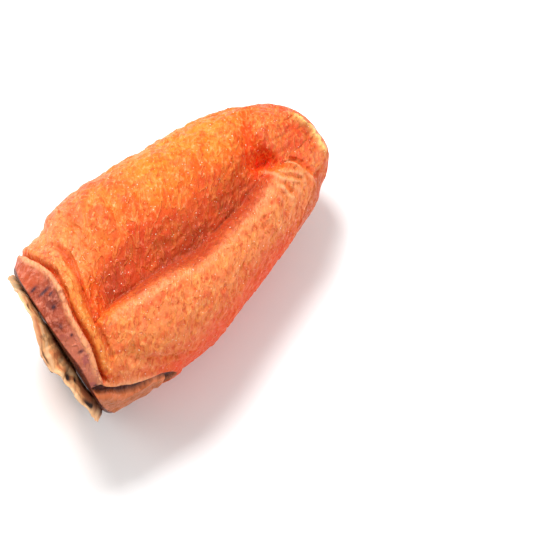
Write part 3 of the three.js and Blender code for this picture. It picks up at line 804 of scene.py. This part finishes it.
def flesh_material():
    n = Nodes("dried_flesh")
    hollow, groove, flesh, crest = n.mark("hollow"), n.mark("groove"), n.mark("flesh"), n.mark("crest")
    patch = n.noise(0.12, 2)
    blotch = n.noise(0.4, 3, rough=0.6)
    grain = n.noise(1.2, 3, stretch=(1, 0.6, 0.8), rough=0.6)
    worms = n.worms(0.6, 0.06)
    speck = n.noise(2.6, 1)

    colour = n.mix(n.band(patch, 0.38, 0.62), linear(227, 105, 16), linear(215, 82, 15))
    colour = n.tint(colour, "amber", 0.6, (238, 134, 24))
    # Paler, pinker flesh on the crest and near the collar, partly painted light where the crest turns away.
    colour = n.tint(colour, "salmon_and_painted_light", 0.88, (238, 142, 90))
    # Painted shade: the underside is darker and redder.
    colour = n.tint(colour, "low", 0.85, (210, 54, 2))
    colour = n.mix(n.band(blotch, 0.42, 0.66, 0.0, 0.6), colour, linear(208, 66, 14))
    # Painted shade: the furrows are darkened and reddened, and the main one's depth darker still.
    colour = n.mix(n.times(n.band(hollow, 0.05, 0.8), 0.7), colour, linear(214, 56, 10))
    shade = n.times(n.mark("painted_furrow_shade"), n.band(n.noise(0.22, 3), 0.36, 0.6, 0.35, 0.8))
    colour = n.mix(shade, colour, linear(152, 56, 28))
    colour = n.tint(colour, "band", 0.75, (216, 136, 62))
    # The cap's darker red: partly its own tone and partly painted shade on the facet, which turns from the
    # light.
    colour = n.tint(colour, "cap", 0.6, (202, 76, 42))
    # Painted shade: deep red in the dimple and the groove's bottom.
    colour = n.mix(n.mark("painted_dimple_shade"), colour, linear(238, 44, 2))
    # Paler wrinkle crests and lines: partly pale fibres and partly painted highlight, fading in the
    # furrow's painted shade.
    outside_painted_shade = n.math("SUBTRACT", 1.0, n.times(n.mark("painted_furrow_shade"), 0.6))
    colour = n.mix(n.times(n.times(crest, outside_painted_shade), 0.45), colour, linear(242, 148, 56))
    colour = n.mix(n.times(n.times(worms, outside_painted_shade), 0.28), colour, linear(248, 164, 76))
    # Darker red in the grain's pits and paler strokes on its raised parts: partly the flesh's own mottling,
    # partly painted shade and painted highlight that follow the bump.
    colour = n.mix(n.band(grain, 0.47, 0.34, 0.0, 0.6), colour, linear(196, 56, 6))
    stroke = n.mix(hollow, linear(250, 172, 104), linear(244, 118, 80))
    colour = n.mix(n.band(grain, 0.55, 0.68, 0.0, 0.5), colour, stroke)
    # More painted shade on the underside.
    colour = n.tint(colour, "low", 0.75, (226, 66, 0))
    # Painted shade along the ridge's bank beside the furrow.
    painted_bank_shade = n.times(n.mark("painted_bank_shade"), n.band(n.noise(0.6, 3, rough=0.6), 0.36, 0.6, 0.45, 0.85))
    colour = n.mix(painted_bank_shade, colour, linear(164, 58, 30))
    # A painted highlight along the ridge's crest.
    painted_crest_highlight = n.times(n.mark("painted_crest_highlight"), n.band(n.noise(0.8, 4, rough=0.65), 0.42, 0.6, 0.1, 0.75))
    colour = n.mix(painted_crest_highlight, colour, linear(244, 156, 104))
    colour = n.mix(n.times(groove, 0.6), colour, linear(196, 60, 12))
    # Painted shade on the strip beyond the side groove.
    colour = n.tint(colour, "side", 0.6, (190, 84, 50))
    colour = n.tint(colour, "raised", 0.5, (250, 190, 136))
    colour = n.tint(colour, "grooved", 0.6, (236, 110, 28))
    # A painted highlight: the tip's rim is pale yellow.
    colour = n.tint(colour, "rim", 0.85, (254, 206, 122))

    stain = n.noise(0.25, 4, rough=0.6)
    skin = n.mix(n.band(stain, 0.35, 0.65), linear(158, 66, 36), linear(124, 50, 32))
    skin = n.tint(skin, "upper", 0.8, (188, 78, 36))
    skin = n.tint(skin, "foot", 0.75, (206, 118, 90))
    bruise = n.times(n.band(n.noise(0.45, 3, rough=0.6), 0.5, 0.62, 0.0, 0.6), n.mark("foot"))
    skin = n.mix(bruise, skin, linear(160, 78, 84))
    skin = n.tint(skin, "under", 0.75, (190, 108, 60))
    skin = n.mix(n.band(n.noise(0.7, 4, rough=0.65), 0.46, 0.68, 0.0, 0.5), skin, linear(224, 138, 110))
    skin = n.mix(n.mark("stains"), skin, linear(52, 26, 40))
    # Painted shade: the end face and rim under the calyx are dark.
    skin = n.tint(skin, "painted_gap_shade", 0.9, (74, 28, 18))
    colour = n.mix(flesh, skin, colour)
    # The slit's colour is partly the dark skin there and partly painted shade under the overhang; its
    # greyer tail is partly a painted sheen.
    dark_skin_and_shade = n.mix(n.mark("tail"), linear(62, 20, 18), linear(72, 60, 62))
    dark_skin_and_shade = n.mix(n.band(n.noise(0.8, 3, rough=0.6), 0.5, 0.68, 0.0, 0.5), dark_skin_and_shade, linear(112, 58, 46))
    colour = n.mix(n.times(n.mark("slit"), 0.96), colour, dark_skin_and_shade)
    colour = n.tint(colour, "flap", 0.8, (230, 124, 70))
    pale = n.times(n.mark("lip"), n.band(n.noise(0.8, 3), 0.36, 0.58, 0.35, 0.9))
    colour = n.mix(pale, colour, linear(240, 162, 112))
    # Painted glints: small pale specks scattered over the flesh.
    painted_glints = n.band(speck, 0.735, 0.77)
    colour = n.mix(n.times(painted_glints, flesh), colour, linear(255, 238, 214))
    n.set(base_color=colour, roughness=n.band(grain, 0.3, 0.7, 0.55, 0.36))
    n.shader.inputs["Specular IOR Level"].default_value = 0.22
    n.shader.inputs["Subsurface Weight"].default_value = 0.25
    n.shader.inputs["Subsurface Radius"].default_value = (1.0, 0.35, 0.12)
    n.shader.inputs["Subsurface Scale"].default_value = 1.2 * MM
    relief = n.bump(worms, 0.7, 0.22)
    n.set(normal=n.bump(grain, 0.9, 0.35, relief))
    return n.material


def calyx_material():
    n = Nodes("dried_calyx")
    blotch = n.noise(0.25, 4, rough=0.6)
    fine = n.noise(1.5, 4, rough=0.7)
    veins = n.worms(0.5, 0.05, stretch=(1, 0.25, 0.5))
    colour = n.mix(n.band(blotch, 0.35, 0.65), linear(255, 188, 122), linear(238, 148, 90))
    colour = n.mix(n.band(fine, 0.52, 0.8, 0.0, 0.5), colour, linear(168, 98, 62))
    colour = n.mix(n.times(veins, 0.4), colour, linear(150, 96, 62))
    colour = n.mix(n.band(n.mark("streaks"), 0.5, 0.25, 0.0, 0.75), colour, linear(196, 100, 56))
    colour = n.mix(n.band(n.mark("streaks"), 0.55, 0.8, 0.0, 0.7), colour, linear(255, 206, 156))
    green = n.times(n.mark("green"), n.band(n.noise(0.5, 2), 0.4, 0.55, 0.35, 0.9))
    colour = n.mix(green, colour, linear(140, 122, 84))
    # The paler rim: partly its own tan and partly a painted highlight on the curled edge.
    colour = n.tint(colour, "edge", 0.5, (252, 204, 156))
    colour = n.mix(n.times(n.band(n.noise(0.45, 2), 0.68, 0.74), 0.4), colour, linear(70, 42, 32))
    # Painted shade in the holes and in the filled gap under the calyx.
    colour = n.mix(n.mark("holes"), colour, linear(40, 20, 14))
    n.set(base_color=colour, roughness=n.band(fine, 0.2, 0.8, 0.65, 0.9))
    n.set(normal=n.bump(n.noise(1.2, 5, rough=0.7), 0.7, 0.4))
    return n.material


def stem_material():
    n = Nodes("cut_stem")
    fibre = n.noise(1.4, 4, stretch=(0.25, 1, 1), rough=0.7)
    colour = n.mix(n.band(fibre, 0.35, 0.7), linear(112, 82, 58), linear(62, 43, 32))
    colour = n.mix(n.mark("cut"), colour, linear(148, 112, 80))
    n.set(base_color=colour, roughness=n.band(fibre, 0.3, 0.7, 0.75, 0.92))
    n.set(normal=n.bump(fibre, 0.8, 0.3))
    return n.material


def floor_material():
    n = Nodes("pale_floor")
    n.set(base_color=linear(250, 250, 250), roughness=0.6)
    return n.material


def dress(piece, node, material):
    """Gives a piece its material and hangs it on the part's body, in place of its plain solid."""
    piece.data.materials.append(material)
    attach(piece, "root")
    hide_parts(node)


def view_axes():
    """The picture's axes in the frame: to its right, to its top, and towards the camera."""
    right = np.array([math.cos(VIEW_AZIMUTH), math.sin(VIEW_AZIMUTH), 0])
    ahead = np.array([-math.sin(VIEW_AZIMUTH), math.cos(VIEW_AZIMUTH), 0])
    up = ahead * math.sin(VIEW_ELEVATION) + np.array([0, 0, 1]) * math.cos(VIEW_ELEVATION)
    back = np.cross(right, up)
    return right, up, back


def make_camera():
    """The photograph's view, aimed so that the middle of the calyx end falls on its pixel."""
    right, up, back = view_axes()
    middle = PICTURE / 2
    aim = ((middle - CALYX_PIXEL[0]) * right + (CALYX_PIXEL[1] - middle) * up) * MM_PER_PIXEL
    data = bpy.data.cameras.new("camera")
    data.sensor_width = SENSOR
    data.lens = SENSOR * VIEW_DISTANCE / (PICTURE * MM_PER_PIXEL)
    camera = bpy.data.objects.new("camera", data)
    bpy.context.scene.collection.objects.link(camera)
    where = (aim + back * VIEW_DISTANCE - ORIGIN) * MM
    pose = Matrix([[right[i], up[i], back[i], where[i]] for i in range(3)] + [[0, 0, 0, 1]])
    camera.matrix_world = pose
    bpy.context.scene.camera = camera


def make_light(name, shares, distance, size, power):
    """A square area light in a direction given in the picture's axes, aimed at the fruit's middle."""
    direction = Vector(sum(axis * share for axis, share in zip(view_axes(), shares))).normalized()
    data = bpy.data.lights.new(name, "AREA")
    data.size = size
    data.energy = power
    light = bpy.data.objects.new(name, data)
    light.location = direction * distance + Vector((0, 0, FRUIT_MIDDLE_HEIGHT))
    light.rotation_euler = direction.to_track_quat("Z", "Y").to_euler()
    bpy.context.scene.collection.objects.link(light)


def make_stage():
    """A plain pale floor at the fruit's base, under an even white sky."""
    size = FLOOR_HALF_SIZE
    corners = [(-size, -size, 0), (size, -size, 0), (size, size, 0), (-size, size, 0)]
    mesh = bpy.data.meshes.new("floor")
    mesh.from_pydata(corners, [], [(0, 1, 2, 3)])
    mesh.materials.append(floor_material())
    floor = bpy.data.objects.new("floor", mesh)
    bpy.context.scene.collection.objects.link(floor)
    world = bpy.data.worlds.new("studio")
    world.use_nodes = True
    sky = world.node_tree.nodes["Background"]
    sky.inputs["Color"].default_value = (1, 1, 1, 1)
    sky.inputs["Strength"].default_value = SKY_STRENGTH
    bpy.context.scene.world = world
    bpy.context.scene.view_settings.view_transform = "Standard"


def main():
    make_camera()
    dress(make_fruit(), "fruit", flesh_material())
    dress(make_calyx(), "calyx", calyx_material())
    dress(make_stem(), "stem_stub", stem_material())
    make_stage()
    for light in LIGHTS:
        make_light(*light)


main()
